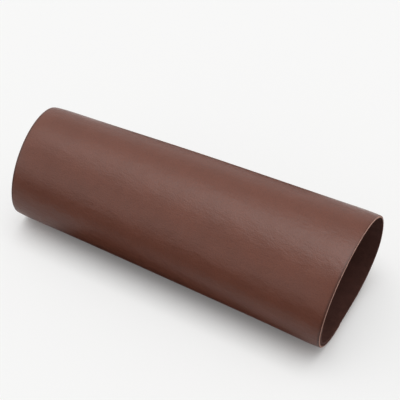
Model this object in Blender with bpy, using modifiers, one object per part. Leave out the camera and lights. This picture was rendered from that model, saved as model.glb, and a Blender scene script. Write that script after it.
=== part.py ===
"""Leather hide: one cut sheet of finished leather, rolled grain side out into a loose open tube.

Metres, +Z up. The roll lies along X on its own flat spot, and the origin is on the surface that it
lies on, under the middle of the roll. -Y is the front.
"""

from collections import namedtuple

import bpy
import numpy as np

MM = 0.001

# The flat sheet as it was cut.
SHEET_ALONG = 0.305      # along the roll, from one open end to the other
SHEET_AROUND = 0.457     # the way it is rolled up
THICKNESS = 0.002
LAYER_GAP = 0.0005       # between the two layers where the sheet laps over itself

# The sheet's outer edge lies at the back of the flat spot. From there the sheet runs forward, up the
# front, over and down the back, and is lifted over that edge along this last stretch of the wall.
TUCK_LENGTH = 0.070

# The grid's steps: along the roll and around it.
STEPS_ALONG = 12
STEPS_AROUND = 130

# Points of each quarter of a section's outline, before they are spaced out evenly.
QUARTER_POINTS = 60

# The roll's outer shape, in millimetres, at its left end, its middle and its right end. It is nearly
# round at the left, and wider towards the right.
#   at          place along the roll, -1 to 1
#   front, back how far the wall bulges each way
#   front_rise, back_rise   how high it bulges furthest
#   crown       where the highest line runs
#   height      how high that is
#   flat_front, flat_back   the two sides of the flat spot
#   skew, lean  how much further to the right the cut edge lies for each millimetre back, and up
Section = namedtuple(
    "Section",
    "at front back front_rise back_rise crown height flat_front flat_back skew lean",
)
SECTIONS = (
    Section(-1, -48.0, 47.5, 44.5, 46.5, 0.5, 99.5, -10.0, 12.0, -0.035, 0.07),
    Section(0, -56.0, 56.0, 44.0, 43.5, 1.0, 102.0, -13.0, 12.0, 0.000, 0.06),
    Section(1, -64.0, 60.0, 44.0, 39.0, 4.0, 103.0, -17.0, 12.0, 0.030, 0.05),
)

# The leather: its grain side, its flesh side and its cut edge, as colour and roughness.
Finish = namedtuple("Finish", "name colour roughness")
FINISHES = (
    Finish("leather_grain", (0.161, 0.052, 0.031), 0.42),
    Finish("leather_flesh", (0.088, 0.038, 0.030), 0.90),
    Finish("leather_cut_edge", (0.300, 0.170, 0.135), 0.80),
)


def clear_scene():
    for item in list(bpy.data.objects):
        bpy.data.objects.remove(item)


def make_collection(name):
    collection = bpy.data.collections.new(name)
    bpy.context.scene.collection.children.link(collection)
    return collection


def make_material(finish):
    material = bpy.data.materials.new(finish.name)
    material.use_nodes = True
    shader = material.node_tree.nodes["Principled BSDF"]
    shader.inputs["Base Color"].default_value = (*finish.colour, 1)
    shader.inputs["Roughness"].default_value = finish.roughness
    shader.inputs["Metallic"].default_value = 0
    return material


def section_at(place):
    """The roll's section at a place from -1 to 1, on a smooth curve through the three rows."""
    rows = np.array(SECTIONS)
    curves = np.polyfit(rows[:, 0], rows, deg=2)
    values = curves[0] * place**2 + curves[1] * place + curves[2]
    return Section(*values)


def quarter(start, end, leaves_level):
    """A quarter of an ellipse from start to end, level at one of its ends and upright at the other."""
    turn = np.linspace(0, np.pi / 2, QUARTER_POINTS, endpoint=False)
    rising, falling = np.sin(turn), 1 - np.cos(turn)
    share_y, share_z = (rising, falling) if leaves_level else (falling, rising)
    y = start[0] + (end[0] - start[0]) * share_y
    z = start[1] + (end[1] - start[1]) * share_z
    return np.column_stack([y, z])


def outline(section):
    """The section's outer outline in metres, from the back end of the flat spot and round by the front."""
    flat_front = (section.flat_front, 0)
    flat_back = (section.flat_back, 0)
    back = (section.back, section.back_rise)
    crown = (section.crown, section.height)
    front = (section.front, section.front_rise)
    parts = [
        np.linspace(flat_back, flat_front, QUARTER_POINTS, endpoint=False),
        quarter(flat_front, front, leaves_level=True),
        quarter(front, crown, leaves_level=False),
        quarter(crown, back, leaves_level=True),
        quarter(back, flat_back, leaves_level=False),
    ]
    return np.vstack(parts) * MM


def distances(points):
    """How far along the line each of its points is."""
    steps = np.linalg.norm(np.diff(points, axis=0), axis=1)
    return np.concatenate([[0], np.cumsum(steps)])


def wound_line(section, around):
    """The middle of the sheet's thickness at each distance around from the outer edge, as (y, z)."""
    loop = outline(section)
    ahead, behind = np.roll(loop, -1, axis=0), np.roll(loop, 1, axis=0)
    heading = (ahead - behind) / np.linalg.norm(ahead - behind, axis=1)[:, None]
    inward = np.column_stack([heading[:, 1], -heading[:, 0]])

    # Twice round: the first turn is the wall, and the second lies inside it.
    turns = np.vstack([loop, loop])
    inward = np.vstack([inward, inward])
    travelled = distances(turns)
    first_turn = travelled[len(loop)]
    lifted = np.clip((travelled - first_turn + TUCK_LENGTH) / TUCK_LENGTH, 0, 1)
    lifted = lifted**2 * (3 - 2 * lifted)
    depth = THICKNESS / 2 + lifted * (THICKNESS + LAYER_GAP)
    path = turns + inward * depth[:, None]

    along_path = distances(path)
    y = np.interp(around, along_path, path[:, 0])
    z = np.interp(around, along_path, path[:, 1])
    return y, z


def roll_up(sheet):
    """Moves the flat sheet's points to where they lie in the roll."""
    points = np.array([vertex.co for vertex in sheet.vertices])
    places = np.round(points[:, 0] * 2, 6)
    rolled = np.empty_like(points)
    for place in np.unique(places):
        row = places == place
        section = section_at(place)
        y, z = wound_line(section, (points[row, 1] + 0.5) * SHEET_AROUND)
        x = place * SHEET_ALONG / 2 + section.skew * y + section.lean * (z - section.height * MM / 2)
        rolled[row] = np.column_stack([x, y, z])
    lowest, highest = rolled.min(axis=0), rolled.max(axis=0)
    rolled[:, :2] -= (lowest + highest)[:2] / 2
    sheet.vertices.foreach_set("co", rolled.ravel())
    sheet.update()


def make_rolled_hide(collection):
    bpy.ops.mesh.primitive_grid_add(
        x_subdivisions=STEPS_ALONG, y_subdivisions=STEPS_AROUND, size=1
    )
    hide = bpy.context.object
    hide.name = "rolled_hide"
    hide.data.name = "rolled_hide"
    for finish in FINISHES:
        hide.data.materials.append(make_material(finish))
    roll_up(hide.data)
    hide.data.shade_smooth()

    wall = hide.modifiers.new("Thickness", "SOLIDIFY")
    wall.thickness = THICKNESS
    wall.offset = 0
    wall.use_even_offset = True
    wall.material_offset = 1
    wall.material_offset_rim = 2

    for holder in list(hide.users_collection):
        holder.objects.unlink(hide)
    collection.objects.link(hide)
    return hide


def main():
    clear_scene()
    make_rolled_hide(make_collection("leather_hide"))


main()
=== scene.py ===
"""The looks of the leather hide: one sheet rolled grain side out, on a plain pale floor."""

import math
from collections import namedtuple

import bpy
import numpy as np
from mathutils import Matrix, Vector


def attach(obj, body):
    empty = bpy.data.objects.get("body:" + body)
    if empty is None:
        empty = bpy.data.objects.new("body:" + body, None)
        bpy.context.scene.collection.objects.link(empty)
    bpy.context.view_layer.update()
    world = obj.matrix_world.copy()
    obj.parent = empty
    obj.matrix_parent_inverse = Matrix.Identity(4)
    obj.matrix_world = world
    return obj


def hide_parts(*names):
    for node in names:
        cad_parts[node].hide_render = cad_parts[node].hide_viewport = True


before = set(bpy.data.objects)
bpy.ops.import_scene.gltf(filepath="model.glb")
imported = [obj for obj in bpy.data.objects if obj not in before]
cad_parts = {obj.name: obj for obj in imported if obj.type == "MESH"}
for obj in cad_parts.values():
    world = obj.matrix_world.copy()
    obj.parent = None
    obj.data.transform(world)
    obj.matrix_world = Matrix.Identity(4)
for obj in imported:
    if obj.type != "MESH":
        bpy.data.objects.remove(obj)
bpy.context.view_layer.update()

MM = 0.001

# ---------------------------------------------------------------------------------------------
# Sizes. The roll's sections are those of the CAD solid, so the fine sheet lies where that lies.
# ---------------------------------------------------------------------------------------------

SHEET_ALONG = 0.305
SHEET_AROUND = 0.457
THICKNESS = 0.002
LAYER_GAP = 0.0005
TUCK_LENGTH = 0.070

# The right cut edge runs askew beside the outer edge: it is cut back by this much, in metres, at the
# first of these distances from the outer edge, and not at all from the second on.
CUT_BACK = 0.005
CUT_BACK_FADE = (0.004, 0.028)

# The fine grid's steps, and the points on each quarter of a section's outline before it is spaced out.
STEPS_ALONG = 116
STEPS_AROUND = 220
QUARTER_POINTS = 120

# The cut edge in section, in millimetres: a round shoulder on the grain side, a small one on the
# flesh side, and a band beside the cut where the knife drew the grain side down a little.
GRAIN_SHOULDER_WIDE, GRAIN_SHOULDER_DEEP = 0.55, 1.00
FLESH_SHOULDER_WIDE, FLESH_SHOULDER_DEEP = 0.35, 0.30
DRAWN_WIDE, DRAWN_DEEP = 3.2, 0.06
SHOULDER_STEPS = 6
END_FACE_STEPS = 2

# The numbers of the sheet's materials.
GRAIN, FLESH, CUT = 0, 1, 2

# The roll's sections, in millimetres: where each lies (-1 is the left end, 1 the right end), how far
# the wall reaches to the front and to the back and how high it is there, the crown's place and height,
# and the flat spot's two ends. Skew and lean slant the section's cut: how far it moves along the roll
# for each millimetre to the back and for each millimetre up.
Section = namedtuple(
    "Section",
    "at front back front_rise back_rise crown height flat_front flat_back skew lean",
)
SECTIONS = (
    Section(-1, -48.0, 47.5, 44.5, 46.5, 0.5, 99.5, -10.0, 12.0, -0.035, 0.07),
    Section(0, -56.0, 56.0, 44.0, 43.5, 1.0, 102.0, -13.0, 12.0, 0.000, 0.06),
    Section(1, -64.0, 60.0, 44.0, 39.0, 4.0, 103.0, -17.0, 12.0, 0.030, 0.05),
)

# Soft hollows and swells of the single wall, placed on the flat sheet, in millimetres: where the
# middle lies along the sheet (0 is the middle) and around it (from the outer edge), how long and
# wide each is, and how far it stands proud (+) or lies in (-).
Swell = namedtuple("Swell", "along around length width rise")
SWELLS = (
    Swell(-100, 190, 55, 24, 0.25),
    Swell(-35, 160, 70, 22, -0.28),
    Swell(40, 178, 80, 20, 0.28),
    Swell(110, 150, 50, 24, -0.25),
    Swell(-70, 128, 60, 20, 0.22),
    Swell(10, 120, 70, 24, 0.22),
    Swell(85, 205, 60, 26, -0.25),
    Swell(-15, 225, 90, 24, 0.30),
    Swell(-105, 240, 50, 26, -0.25),
    Swell(95, 262, 60, 24, 0.30),
)
SWELL_FADE = 0.030

# The wall swells a little beside both cut ends and turns in at the cut: how far it stands proud, how
# far that is from the cut, and how high over the floor it starts to do so in full, in metres.
END_SWELL = 0.0005
END_SWELL_PLACE = 0.014
END_SWELL_HEIGHT = 0.020

# ---------------------------------------------------------------------------------------------
# Colours, as linear red, green and blue
# ---------------------------------------------------------------------------------------------

GRAIN_BROWN = (0.161, 0.052, 0.031)
FLESH_BROWN = (0.098, 0.042, 0.033)
CORE_BROWN = (0.200, 0.120, 0.095)
# The cut's pale: partly the raw fibres' colour, partly painted highlight.
PALE_TAN = (0.530, 0.308, 0.248)
FLOOR_WHITE = (0.905, 0.905, 0.900)
FLOOR_GLOW_WHITE = (0.955, 0.955, 0.950)
FLOOR_DARK = (0.035, 0.020, 0.017)

# Each colour runs between two shades of itself, given as shares of it, while a noise runs through the
# middle of its range.
NOISE_MIDDLE = (0.3, 0.7)
GRAIN_SHADES = (0.95, 1.05)
FLESH_SHADES = (0.85, 1.15)
PALE_SHADES = (0.80, 1.10)
CORE_SHADES = (0.75, 1.30)
DARK_CUT_SHADES = (0.70, 1.20)

# The gaps between the pebbles are darker, and the tips of the nap lighter: the two values of the
# texture that each comes in between, the most that there is of it, and its shade.
PEBBLE_GAPS, PEBBLE_GAP_SHARE, PEBBLE_GAP_SHADE = (0.35, 0.75), 0.35, 0.72
NAP_TIPS, NAP_TIP_SHARE, NAP_TIP_SHADE = (0.35, 0.75), 0.50, 1.35

# The grain side's roughness rises by the swing with its cloud and again with its fine waves.
GRAIN_ROUGHNESS, ROUGHNESS_SWING = 0.29, 0.06
FLESH_ROUGHNESS, CUT_ROUGHNESS, FLOOR_ROUGHNESS = 0.95, 0.80, 0.90
GRAIN_IOR, FLESH_IOR, CUT_IOR, FLOOR_IOR = 1.5, 1.25, 1.25, 1.3

# ---------------------------------------------------------------------------------------------
# The finishes' measures, in millimetres on the flat sheet. AROUND is a distance from the outer edge:
# a change that lies around the roll runs from the first of two such distances to the second.
# ---------------------------------------------------------------------------------------------

# How many waves or pebbles each texture has to the millimetre.
PEBBLE_WAVES, FINE_WAVES, DRAWN_WAVES, RUMPLE_WAVES = 0.80, 2.6, 0.55, 0.13
DRIFT_WAVES, MOTTLE_WAVES, CLOUD_WAVES = 0.35, 0.045, 0.014
NAP_WAVES, NAP_MOTTLE_WAVES = 1.4, 0.12
FIBRE_WAVES, RAGGED_WAVES = 2.4, 0.5

# The streaks, the rumples and the nap run long one way, because the waves to the millimetre are times
# these: along the sheet, around it and through it.
DRAWN_SCALE = (0.28, 1, 1)
RUMPLE_SCALE = (0.6, 1, 1)
NAP_SCALE = (0.5, 1.6, 1)

# How far the pebbles drift from even places, how deep each relief is, and how many times as high as the
# pebbles the fine waves and the drawn streaks stand in the grain's relief.
PEBBLE_DRIFT = 1.6
GRAIN_RELIEF, RUMPLE_RELIEF, NAP_RELIEF, FIBRE_RELIEF = 0.07, 0.42, 0.22, 0.10
FINE_HEIGHT, DRAWN_HEIGHT = 0.35, 1.6

# The grain side is darkened beside a cut, within the first of these distances in full and not at all from
# the second on:
# partly leather pressed by the knife, partly painted shade on the rounded shoulder. Over the crown, where
# the light
# falls, the band is faint: painted light.
PRESSED_AND_SHADED_BAND = (0.8, 2.8)
PRESSED_AND_SHADED_DARK = 0.50
LIT_CROWN_BAND = 0.25
LIT_CROWN_AROUND = (150, 195)

# On the cut, the pale fibres start and end between these depths under the grain side, which a noise makes
# ragged by up to so much. The pale is partly the raw fibres' colour and partly painted highlight. Over the
# crown, where the
# light falls, it reaches deeper: painted highlight.
PALE_STARTS = (0.20, 0.35)
PALE_ENDS = (0.90, 1.60)
RAGGED = 0.3
CROWN_HIGHLIGHT_DEPTH = 0.60
CROWN_HIGHLIGHT_AROUND = (165, 215)

# Down the back the cut turns to this share of dark brown, and on the inner lap wholly, so that its pale,
# partly painted highlight, shows only over the front and the crown.
BACK_DARK_SHARE = 0.5
BACK_DARK_AROUND = (226, 248)
LAP_DARK_AROUND = (352, 372)

# ---------------------------------------------------------------------------------------------
# The studio's measures, in metres and degrees, and the camera's sensor and lens in millimetres
# ---------------------------------------------------------------------------------------------

CAMERA_PLACE = (0.34849, -0.64971, 0.83973)
CAMERA_LOOKS_ALONG = (-0.31866, 0.61414, -0.72200)
CAMERA_SENSOR, CAMERA_LENS = 36, 113.49

# The floor is wide, so that no edge of it shows from low down.
FLOOR_SIDE = 40
HALF_FLOOR = (FLOOR_SIDE, FLOOR_SIDE / 2)

# The dark patches that only the roll sees: where each lies on the floor, its sides, its turn and how
# dark it is. The first two stand for sheets that lie under the roll, and the rest for the dark of the
# room. Their edges are soft for this far to each side.
Patch = namedtuple("Patch", "middle sides turn share")
DARK_PATCHES = (
    Patch(middle=(0.005, -0.030), sides=(0.250, 0.130), turn=12, share=1.0),
    Patch(middle=(-0.045, 0.155), sides=(0.237, 0.300), turn=15, share=1.0),
    Patch(middle=(0.000, -0.130 - FLOOR_SIDE / 4), sides=HALF_FLOOR, turn=0, share=1.0),
    Patch(middle=(0.000, -0.090), sides=(FLOOR_SIDE, 0.100), turn=0, share=0.4),
    Patch(middle=(-0.200, -0.020), sides=(0.140, 0.240), turn=0, share=0.3),
    Patch(middle=(0.000, 0.340 + FLOOR_SIDE / 4), sides=HALF_FLOOR, turn=0, share=0.6),
)
PATCH_EDGE = 0.025

# The studio's light: how bright it is at each height above the horizon, in degrees, at the front and
# then each eighth of the way round by the right, the back and the left.
Ring = namedtuple("Ring", "rise front front_right right back_right back back_left left front_left")
RINGS = (
    Ring(5, 0.4, 0.8, 1.1, 1.0, 0.8, 0.9, 1.9, 1.3),
    Ring(20, 0.5, 0.5, 0.7, 0.7, 0.5, 0.7, 1.6, 1.3),
    Ring(37, 0.2, 0.2, 0.3, 0.5, 0.5, 0.7, 1.2, 0.9),
    Ring(56, 0.1, 0.1, 0.3, 0.6, 0.6, 0.7, 0.9, 0.6),
    Ring(76, 2.8, 2.8, 2.8, 2.8, 2.8, 2.8, 2.8, 2.8),
)

# How bright the camera sees the backdrop, how much of the floor's white glows for it, and how near the
# roll and by which power of the open floor's share that glow fades into the contact shadow.
BACKDROP = 0.96
FLOOR_GLOW = 0.60
CONTACT_SHADE_REACH = 0.030
CONTACT_SHADE_POWER = 2


# ---------------------------------------------------------------------------------------------
# The sheet's shape
# ---------------------------------------------------------------------------------------------

def section_at(place):
    """The roll's section at a place from -1 to 1, on a smooth curve through the three rows."""
    rows = np.array(SECTIONS)
    curves = np.polyfit(rows[:, 0], rows, deg=2)
    return Section(*(curves[0] * place**2 + curves[1] * place + curves[2]))


def quarter(start, end, leaves_level):
    """A quarter of an ellipse from start to end, level at one of its ends and upright at the other."""
    turn = np.linspace(0, np.pi / 2, QUARTER_POINTS, endpoint=False)
    rising, falling = np.sin(turn), 1 - np.cos(turn)
    share_y, share_z = (rising, falling) if leaves_level else (falling, rising)
    y = start[0] + (end[0] - start[0]) * share_y
    z = start[1] + (end[1] - start[1]) * share_z
    return np.column_stack([y, z])


def outline(section):
    """The section's outer outline in metres, from the back end of the flat spot and round by the front."""
    flat_front = (section.flat_front, 0)
    flat_back = (section.flat_back, 0)
    back = (section.back, section.back_rise)
    crown = (section.crown, section.height)
    front = (section.front, section.front_rise)
    parts = [
        np.linspace(flat_back, flat_front, QUARTER_POINTS, endpoint=False),
        quarter(flat_front, front, leaves_level=True),
        quarter(front, crown, leaves_level=False),
        quarter(crown, back, leaves_level=True),
        quarter(back, flat_back, leaves_level=False),
    ]
    return np.vstack(parts) * MM


def distances(points):
    """How far along the line each of its points is."""
    steps = np.linalg.norm(np.diff(points, axis=0), axis=1)
    return np.concatenate([[0], np.cumsum(steps)])


def smooth_step(value, start, end):
    """0 up to start, 1 from end on, and a smooth rise between them."""
    share = np.clip((value - start) / (end - start), 0, 1)
    return share**2 * (3 - 2 * share)


def swelling(along, around):
    """How far the leather stands proud of the even roll, in metres, at places on the flat sheet."""
    total = np.zeros_like(around)
    for swell in SWELLS:
        far_along = (along - swell.along * MM) / (swell.length * MM)
        far_around = (around - swell.around * MM) / (swell.width * MM)
        total += swell.rise * MM * np.exp(-far_along**2 - far_around**2)
    return total


def wound_line(section, along):
    """The middle of the sheet's thickness, from the outer edge inwards, as points (y, z)."""
    loop = outline(section)
    ahead, behind = np.roll(loop, -1, axis=0), np.roll(loop, 1, axis=0)
    heading = (ahead - behind) / np.linalg.norm(ahead - behind, axis=1)[:, None]
    inward = np.column_stack([heading[:, 1], -heading[:, 0]])

    # Twice round: the first turn is the wall, and the second lies inside it.
    turns = np.vstack([loop, loop])
    inward = np.vstack([inward, inward])
    travelled = distances(turns)
    first_turn = travelled[len(loop)]
    tuck_start = first_turn - TUCK_LENGTH
    lifted = smooth_step(travelled, tuck_start, first_turn)
    depth = THICKNESS / 2 + lifted * (THICKNESS + LAYER_GAP)

    # Only the single wall swells: where the sheet laps over itself it lies even.
    overlap = SHEET_AROUND - first_turn
    single = smooth_step(travelled, overlap, overlap + SWELL_FADE)
    single *= 1 - smooth_step(travelled, tuck_start - SWELL_FADE, tuck_start)
    depth -= single * swelling(along, travelled)
    return turns + inward * depth[:, None]


def place_row(along, around, depth):
    """Points of one row across the sheet, where they lie in the roll.

    along is the row's distance from the sheet's left end, around each point's distance from the
    outer edge, and depth how far each lies under the grain side.
    """
    place = 2 * along / SHEET_ALONG - 1
    section = section_at(place)
    middle = along - SHEET_ALONG / 2
    line = wound_line(section, middle)
    travelled = distances(line)
    heading = np.gradient(line, travelled, axis=0)
    inward = np.column_stack([heading[:, 1], -heading[:, 0]])
    inward /= np.linalg.norm(inward, axis=1)[:, None]
    y = np.interp(around, travelled, line[:, 0])
    z = np.interp(around, travelled, line[:, 1])
    from_cut = min(along, SHEET_ALONG - along) / END_SWELL_PLACE
    proud = END_SWELL * from_cut * math.exp(1 - from_cut) * smooth_step(z, 0, END_SWELL_HEIGHT)
    sunk = depth - THICKNESS / 2 - proud
    y += sunk * np.interp(around, travelled, inward[:, 0])
    z += sunk * np.interp(around, travelled, inward[:, 1])
    cut_back = CUT_BACK * (1 - smooth_step(around, *CUT_BACK_FADE)) * (place + 1) / 2
    x = middle - cut_back + section.skew * y + section.lean * (z - section.height * MM / 2)
    return np.column_stack([x, y, z])


def grid_lines(length, steps):
    """Where the grid's lines lie between two cut edges: close together on the shoulders, and even from
    half of the way across the drawn band."""
    turn = np.linspace(np.pi / 2, 0, SHOULDER_STEPS + 1)
    shoulder = GRAIN_SHOULDER_WIDE * MM * (1 - np.sin(turn))
    first = DRAWN_WIDE / 2 * MM
    between = np.linspace(first, length - first, steps + 1)
    return np.concatenate([shoulder, between, (length - shoulder)[::-1]])


def shoulder_drop(inset, wide, deep):
    """How far a round shoulder lies under the face, at a distance in from the cut line."""
    share = np.clip(1 - inset / (wide * MM), 0, 1)
    return deep * MM * (1 - np.sqrt(1 - share**2))


def grain_depth(inset):
    """How far down the grain side lies, at a distance in from the cut line."""
    drawn = np.clip(1 - inset / (DRAWN_WIDE * MM), 0, 1)
    return shoulder_drop(inset, GRAIN_SHOULDER_WIDE, GRAIN_SHOULDER_DEEP) + DRAWN_DEEP * MM * drawn**2


def flesh_depth(inset):
    """How far down the flesh side lies, at a distance in from the cut line."""
    return THICKNESS - shoulder_drop(inset, FLESH_SHOULDER_WIDE, FLESH_SHOULDER_DEEP)


def grid_border(rows, columns):
    """The numbers of a grid's border points in order, once round."""
    numbers = np.arange(rows * columns).reshape(rows, columns)
    sides = [numbers[:-1, 0], numbers[-1, :-1], numbers[:0:-1, -1], numbers[0, :0:-1]]
    return np.concatenate(sides)


def grid_faces(rows, columns):
    """The grid's faces, each as the numbers of its four corners."""
    numbers = np.arange(rows * columns).reshape(rows, columns)
    corners = [numbers[:-1, :-1], numbers[1:, :-1], numbers[1:, 1:], numbers[:-1, 1:]]
    return np.stack(corners, axis=-1).reshape(-1, 4)


def make_sheet(materials):
    """One closed mesh: the grain side, the flesh side and the end face between them. The materials come
    in the order of GRAIN, FLESH and CUT."""
    along = grid_lines(SHEET_ALONG, STEPS_ALONG)
    around = grid_lines(SHEET_AROUND, STEPS_AROUND)
    rows, columns = len(along), len(around)
    flat_along, flat_around = np.meshgrid(along, around, indexing="ij")
    inset = np.minimum(
        np.minimum(flat_along, SHEET_ALONG - flat_along),
        np.minimum(flat_around, SHEET_AROUND - flat_around),
    )
    border = grid_border(rows, columns)
    side_size, border_size = rows * columns, len(border)

    # The flat sheet's points as (along, around, depth): both sides, then the end face's own lines.
    grain = np.stack([flat_along, flat_around, grain_depth(inset)], axis=-1)
    flesh = np.stack([flat_along, flat_around, flesh_depth(inset)], axis=-1)
    grain_rim = grain.reshape(-1, 3)[border]
    flesh_rim = flesh.reshape(-1, 3)[border]
    shares = np.linspace(0, 1, END_FACE_STEPS + 1)[1:-1]
    between = [grain_rim + (flesh_rim - grain_rim) * share for share in shares]
    flat = np.concatenate([grain.reshape(-1, 3), flesh.reshape(-1, 3), *between])

    points = np.empty_like(flat)
    for place in np.unique(flat[:, 0]):
        row = flat[:, 0] == place
        points[row] = place_row(place, flat[row, 1], flat[row, 2])
    lowest, highest = points.min(axis=0), points.max(axis=0)
    points[:, :2] -= (lowest + highest)[:2] / 2

    grain_faces = grid_faces(rows, columns)
    flesh_faces = grid_faces(rows, columns)[:, ::-1] + side_size
    lines = [border]
    lines += [np.arange(border_size) + 2 * side_size + k * border_size for k in range(len(between))]
    lines += [border + side_size]
    end_faces = [
        np.column_stack([upper, np.roll(upper, 1), np.roll(lower, 1), lower])
        for upper, lower in zip(lines[:-1], lines[1:])
    ]
    faces = np.vstack([grain_faces, flesh_faces, *end_faces])

    # The shoulder on the grain side is cut leather too.
    grain_inset = inset.ravel()[grain_faces].mean(axis=1)
    finishes = np.full(len(faces), CUT)
    finishes[: len(grain_faces)] = np.where(grain_inset < GRAIN_SHOULDER_WIDE * MM, CUT, GRAIN)
    finishes[len(grain_faces) : 2 * len(grain_faces)] = FLESH

    mesh = bpy.data.meshes.new("leather_sheet")
    mesh.from_pydata(points.tolist(), [], faces.tolist())
    for material in materials:
        mesh.materials.append(material)
    mesh.polygons.foreach_set("material_index", finishes.astype(np.int32))
    mesh.shade_smooth()
    add_map(mesh, "flat", flat[:, :2])
    add_map(mesh, "depth", flat[:, [2, 2]])
    mesh.validate()
    sheet = bpy.data.objects.new("leather_sheet", mesh)
    bpy.context.scene.collection.objects.link(sheet)
    return sheet


def add_map(mesh, name, values):
    """A UV map that holds a pair of values for each point."""
    corners = np.array([loop.vertex_index for loop in mesh.loops])
    layer = mesh.uv_layers.new(name=name)
    layer.uv.foreach_set("vector", values[corners].astype(np.float32).ravel())


# ---------------------------------------------------------------------------------------------
# Materials
# ---------------------------------------------------------------------------------------------

class Nodes:
    """A short way to write the nodes of a material or of the world."""

    def __init__(self, holder):
        self.holder = holder
        holder.use_nodes = True
        self.tree = holder.node_tree

    def add(self, kind, inputs=None, **settings):
        node = self.tree.nodes.new(kind)
        for key, value in settings.items():
            setattr(node, key, value)
        for key, value in (inputs or {}).items():
            self.put(node.inputs[key], value)
        return node

    def put(self, socket, value):
        if isinstance(value, bpy.types.NodeSocket):
            self.tree.links.new(value, socket)
        else:
            socket.default_value = value

    def math(self, operation, *values, clamp=False):
        inputs = dict(enumerate(values))
        return self.add("ShaderNodeMath", inputs, operation=operation, use_clamp=clamp).outputs[0]

    def map_range(self, value, low, high, to_low, to_high):
        inputs = {
            "Value": value, "From Min": low, "From Max": high, "To Min": to_low, "To Max": to_high
        }
        node = self.add("ShaderNodeMapRange", inputs, interpolation_type="SMOOTHSTEP")
        return node.outputs["Result"]

    def varied(self, share, colour, darkest, lightest):
        """A colour that runs from its darkest shade to its lightest with a noise."""
        spread = self.map_range(share, *NOISE_MIDDLE, 0, 1)
        return self.mix(spread, scaled(colour, darkest), scaled(colour, lightest))

    def mix(self, share, first, second):
        """Two colours mixed. The node's sockets for colours share their names, so they go by number."""
        node = self.add("ShaderNodeMix", data_type="RGBA")
        self.put(node.inputs[0], share)
        self.put(node.inputs[6], first)
        self.put(node.inputs[7], second)
        return node.outputs[2]

    def noise(self, place, scale, detail, roughness):
        inputs = {"Vector": place, "Scale": scale, "Detail": detail, "Roughness": roughness}
        return self.add("ShaderNodeTexNoise", inputs).outputs["Fac"]

    def sheet_place(self, scale=(1, 1, 1)):
        """Places in the flat sheet, in millimetres times scale: along it, around it and under its grain
        side."""
        flat = self.add("ShaderNodeUVMap", uv_map="flat").outputs["UV"]
        axes = self.add("ShaderNodeSeparateXYZ", {"Vector": flat})
        inputs = {"X": axes.outputs["X"], "Y": axes.outputs["Y"], "Z": self.depth(1)}
        place = self.add("ShaderNodeCombineXYZ", inputs).outputs["Vector"]
        factors = tuple(factor / MM for factor in scale)
        node = self.add("ShaderNodeVectorMath", {0: place, 1: factors}, operation="MULTIPLY")
        return node.outputs["Vector"]

    def depth(self, scale):
        """How far under the grain side the place is, times scale."""
        depth = self.add("ShaderNodeUVMap", uv_map="depth").outputs["UV"]
        axes = self.add("ShaderNodeSeparateXYZ", {"Vector": depth})
        return self.math("MULTIPLY", axes.outputs["X"], scale)

    def around(self, place):
        """How many millimetres the sheet's outer edge is away."""
        return self.add("ShaderNodeSeparateXYZ", {"Vector": place}).outputs["Y"]

    def from_edge(self, place):
        """How many millimetres the sheet's nearest cut edge is away."""
        axes = self.add("ShaderNodeSeparateXYZ", {"Vector": place})
        along, around = axes.outputs["X"], axes.outputs["Y"]
        nearest_end = self.math("MINIMUM", along, self.math("SUBTRACT", SHEET_ALONG / MM, along))
        nearest_side = self.math("MINIMUM", around, self.math("SUBTRACT", SHEET_AROUND / MM, around))
        return self.math("MINIMUM", nearest_end, nearest_side)

    def bump(self, height, depth, onto=None):
        """A relief this many millimetres deep, raised on another one if there is one."""
        inputs = {"Height": height, "Strength": 1.0, "Distance": depth * MM}
        node = self.add("ShaderNodeBump", inputs)
        if onto:
            self.put(node.inputs["Normal"], onto)
        return node.outputs["Normal"]

    def finish(self, **inputs):
        """Set the shader's inputs, named with _ for each space, and give back the material."""
        shader = self.tree.nodes["Principled BSDF"]
        for key, value in inputs.items():
            self.put(shader.inputs[key.replace("_", " ")], value)
        return self.holder


def scaled(colour, factor):
    return (*(c * factor for c in colour), 1)


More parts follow.
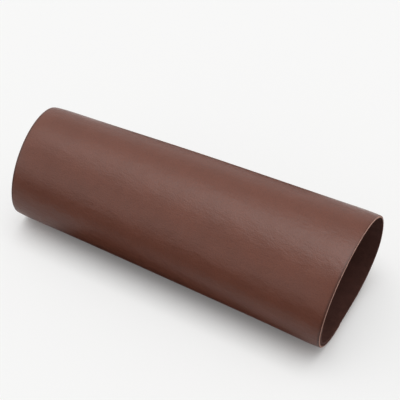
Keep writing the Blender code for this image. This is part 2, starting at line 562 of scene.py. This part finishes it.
def grain_material():
    """The grain side: a fine pebble and streaks drawn along the roll, satin, with pressing and painted
    shade beside the cut.
    """
    n = Nodes(bpy.data.materials.new("leather_grain"))
    place = n.sheet_place()
    drift_inputs = {"Vector": place, "Scale": DRIFT_WAVES, "Detail": 1.0}
    drift = n.add("ShaderNodeTexNoise", drift_inputs).outputs["Color"]
    bent = n.add(
        "ShaderNodeVectorMath", {0: drift, 1: (PEBBLE_DRIFT, PEBBLE_DRIFT, 0), 2: place},
        operation="MULTIPLY_ADD",
    ).outputs["Vector"]
    pebble = n.add(
        "ShaderNodeTexVoronoi", {"Vector": bent, "Scale": PEBBLE_WAVES, "Smoothness": 0.55},
        feature="SMOOTH_F1", voronoi_dimensions="2D",
    ).outputs["Distance"]
    fine = n.noise(bent, FINE_WAVES, detail=3.0, roughness=0.6)
    mottle = n.noise(place, MOTTLE_WAVES, detail=4.0, roughness=0.55)
    cloud = n.noise(place, CLOUD_WAVES, detail=2.0, roughness=0.5)
    rumple = n.noise(n.sheet_place(RUMPLE_SCALE), RUMPLE_WAVES, detail=3.0, roughness=0.55)
    drawn = n.noise(n.sheet_place(DRAWN_SCALE), DRAWN_WAVES, detail=3.0, roughness=0.6)

    shade = n.varied(mottle, GRAIN_BROWN, *GRAIN_SHADES)
    gaps = n.map_range(pebble, *PEBBLE_GAPS, 0, PEBBLE_GAP_SHARE)
    shade = n.mix(gaps, shade, scaled(GRAIN_BROWN, PEBBLE_GAP_SHADE))
    # Painted shade, partly pressing: the grain darkens beside the cut, and only faintly over the lit
    # crown.
    shaded_beside_cut = n.map_range(n.from_edge(place), *PRESSED_AND_SHADED_BAND, 1, 0)
    lit_crown_fade = n.map_range(n.around(place), *LIT_CROWN_AROUND, 1, LIT_CROWN_BAND)
    pressed_and_shaded = n.math("MULTIPLY", shaded_beside_cut, lit_crown_fade)
    shade = n.mix(pressed_and_shaded, shade, scaled(GRAIN_BROWN, PRESSED_AND_SHADED_DARK))

    roughness = n.math("MULTIPLY_ADD", fine, ROUGHNESS_SWING, GRAIN_ROUGHNESS)
    roughness = n.math("MULTIPLY_ADD", cloud, ROUGHNESS_SWING, roughness)
    height = n.math("MULTIPLY_ADD", fine, FINE_HEIGHT, n.math("MULTIPLY", pebble, -1))
    height = n.math("MULTIPLY_ADD", drawn, DRAWN_HEIGHT, height)
    normal = n.bump(height, GRAIN_RELIEF, n.bump(rumple, RUMPLE_RELIEF))
    return n.finish(Base_Color=shade, Roughness=roughness, Normal=normal, IOR=GRAIN_IOR)


def flesh_material():
    """The flesh side: a short matt nap."""
    n = Nodes(bpy.data.materials.new("leather_flesh"))
    nap = n.noise(n.sheet_place(NAP_SCALE), NAP_WAVES, detail=6.0, roughness=0.7)
    mottle = n.noise(n.sheet_place(), NAP_MOTTLE_WAVES, detail=5.0, roughness=0.65)
    shade = n.varied(mottle, FLESH_BROWN, *FLESH_SHADES)
    tips = n.map_range(nap, *NAP_TIPS, 0, NAP_TIP_SHARE)
    shade = n.mix(tips, shade, scaled(FLESH_BROWN, NAP_TIP_SHADE))
    normal = n.bump(nap, NAP_RELIEF)
    return n.finish(Base_Color=shade, Roughness=FLESH_ROUGHNESS, Normal=normal, IOR=FLESH_IOR)


def edge_material():
    """The cut edge: dark at the grain side, partly pressed and partly painted shade, then pale fibres
    where the knife opened the leather, partly painted highlight and deepest over the crown, then darker
    packed ones. Down the back and on the inner lap the cut is darker."""
    n = Nodes(bpy.data.materials.new("leather_cut_edge"))
    place = n.sheet_place()
    around = n.around(place)
    fibres = n.noise(place, FIBRE_WAVES, detail=5.0, roughness=0.7)
    ragged = n.noise(place, RAGGED_WAVES, detail=3.0, roughness=0.6)
    depth = n.math("MULTIPLY_ADD", ragged, RAGGED, n.depth(1 / MM))
    # Painted highlight: over the crown, where the light falls, the cut's pale reaches deeper.
    pale_and_highlight_depth = n.math("SUBTRACT", depth, n.map_range(around, *CROWN_HIGHLIGHT_AROUND, 0, CROWN_HIGHLIGHT_DEPTH))
    pale = n.varied(fibres, PALE_TAN, *PALE_SHADES)
    core = n.varied(fibres, CORE_BROWN, *CORE_SHADES)
    dark_cut = n.varied(fibres, FLESH_BROWN, *DARK_CUT_SHADES)

    # Painted shade, partly pressing: the cut is dark at the grain side before its pale fibres start.
    shade = n.mix(n.map_range(depth, *PALE_STARTS, 0, 1), scaled(GRAIN_BROWN, PRESSED_AND_SHADED_DARK), pale)
    shade = n.mix(n.map_range(pale_and_highlight_depth, *PALE_ENDS, 0, 1), shade, core)
    # The cut darkens down the back and on the inner lap, so its pale, partly painted highlight, shows on
    # the front and crown only.
    back_dark = n.map_range(around, *BACK_DARK_AROUND, 0, BACK_DARK_SHARE)
    lap_dark = n.map_range(around, *LAP_DARK_AROUND, 0, 1)
    shade = n.mix(n.math("MAXIMUM", back_dark, lap_dark), shade, dark_cut)
    normal = n.bump(fibres, FIBRE_RELIEF)
    return n.finish(Base_Color=shade, Roughness=CUT_ROUGHNESS, Normal=normal, IOR=CUT_IOR)


# ---------------------------------------------------------------------------------------------
# Studio
# ---------------------------------------------------------------------------------------------

def make_camera():
    """The camera at the photo's viewing angle."""
    data = bpy.data.cameras.new("camera")
    data.sensor_width = CAMERA_SENSOR
    data.lens = CAMERA_LENS
    camera = bpy.data.objects.new("camera", data)
    bpy.context.scene.collection.objects.link(camera)
    camera.location = CAMERA_PLACE
    camera.rotation_mode = "QUATERNION"
    camera.rotation_quaternion = Vector(CAMERA_LOOKS_ALONG).to_track_quat("-Z", "Y")
    bpy.context.scene.camera = camera


def patch_shade(n, place, patch):
    """How dark a patch makes a place on the floor: its share inside it, and soft at its sides."""
    turned = n.add(
        "ShaderNodeVectorRotate",
        {"Vector": place, "Center": (*patch.middle, 0), "Angle": math.radians(-patch.turn)},
        rotation_type="Z_AXIS",
    ).outputs["Vector"]
    axes = n.add("ShaderNodeSeparateXYZ", {"Vector": turned})
    shade = patch.share
    for axis, centre, side in zip("XY", patch.middle, patch.sides):
        away = n.math("ABSOLUTE", n.math("SUBTRACT", axes.outputs[axis], centre))
        within = n.map_range(away, side / 2 - PATCH_EDGE, side / 2 + PATCH_EDGE, 1, 0)
        shade = n.math("MULTIPLY", shade, within)
    return shade


def make_floor():
    """A plain pale floor to the camera, with the dark patches for all that the roll reflects."""
    bpy.ops.mesh.primitive_plane_add(size=FLOOR_SIDE)
    floor = bpy.context.object
    floor.name = "floor"
    n = Nodes(bpy.data.materials.new("floor"))
    seen = n.add("ShaderNodeLightPath").outputs["Is Camera Ray"]
    unseen = n.math("SUBTRACT", 1, seen)
    place = n.add("ShaderNodeTexCoord").outputs["Object"]
    dark = 0
    for patch in DARK_PATCHES:
        dark = n.math("MAXIMUM", dark, patch_shade(n, place, patch))
    dark = n.math("MULTIPLY", dark, unseen)

    near_roll = {"Distance": CONTACT_SHADE_REACH}
    open_floor = n.add("ShaderNodeAmbientOcclusion", near_roll).outputs["AO"]
    fade = n.math("POWER", open_floor, CONTACT_SHADE_POWER)
    glow = n.math("MULTIPLY", fade, n.math("MULTIPLY", seen, FLOOR_GLOW))
    shade = n.mix(dark, (*FLOOR_WHITE, 1), (*FLOOR_DARK, 1))
    shade = n.mix(glow, shade, (0, 0, 0, 1))
    n.finish(Emission_Color=(*FLOOR_GLOW_WHITE, 1), Emission_Strength=glow)
    n.finish(Base_Color=shade, Roughness=FLOOR_ROUGHNESS, IOR=FLOOR_IOR)
    floor.data.materials.append(n.holder)


def ring_level(n, turn, ring, brightest):
    """How bright a ring is, as a share of the brightest, at a turn from the front by the right."""
    ramp = n.add("ShaderNodeValToRGB", {"Fac": turn})
    levels = [*ring[1:], ring.front]
    stops = ramp.color_ramp.elements
    for position in np.linspace(0, 1, len(levels))[1:-1]:
        stops.new(position)
    for stop, level in zip(stops, levels):
        stop.color = (*(3 * [level / brightest]), 1)
    return ramp.outputs["Color"]


def make_lights():
    """Soft light from all round, brightest from above and from the left, and a plain backdrop."""
    world = bpy.data.worlds.new("studio")
    bpy.context.scene.world = world
    n = Nodes(world)
    towards = n.add("ShaderNodeTexCoord").outputs["Generated"]
    axes = n.add("ShaderNodeSeparateXYZ", {"Vector": towards})
    x, y, z = (axes.outputs[axis] for axis in "XYZ")
    rise = n.math("MULTIPLY", n.math("ARCSINE", z), 180 / math.pi)
    turn = n.math("ARCTAN2", x, n.math("MULTIPLY", y, -1))
    turn = n.math("FRACT", n.math("DIVIDE", turn, 2 * math.pi))
    brightest = max(max(ring[1:]) for ring in RINGS)

    light = ring_level(n, turn, RINGS[0], brightest)
    for lower, ring in zip(RINGS, RINGS[1:]):
        risen = n.math("SUBTRACT", rise, lower.rise)
        share = n.math("DIVIDE", risen, ring.rise - lower.rise, clamp=True)
        level = ring_level(n, turn, ring, brightest)
        light = n.math("MULTIPLY_ADD", share, n.math("SUBTRACT", level, light), light)

    seen = n.add("ShaderNodeLightPath").outputs["Is Camera Ray"]
    light = n.math("MULTIPLY", light, n.math("SUBTRACT", 1, seen))
    backdrop = n.math("MULTIPLY", seen, BACKDROP)
    background = n.tree.nodes["Background"]
    n.put(background.inputs["Strength"], n.math("MULTIPLY_ADD", light, brightest, backdrop))
    n.put(background.inputs["Color"], (1, 1, 1, 1))


def main():
    bpy.context.scene.view_settings.view_transform = "Standard"
    make_camera()
    sheet = make_sheet([grain_material(), flesh_material(), edge_material()])
    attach(sheet, "root")
    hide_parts("rolled_hide")
    make_floor()
    make_lights()


main()
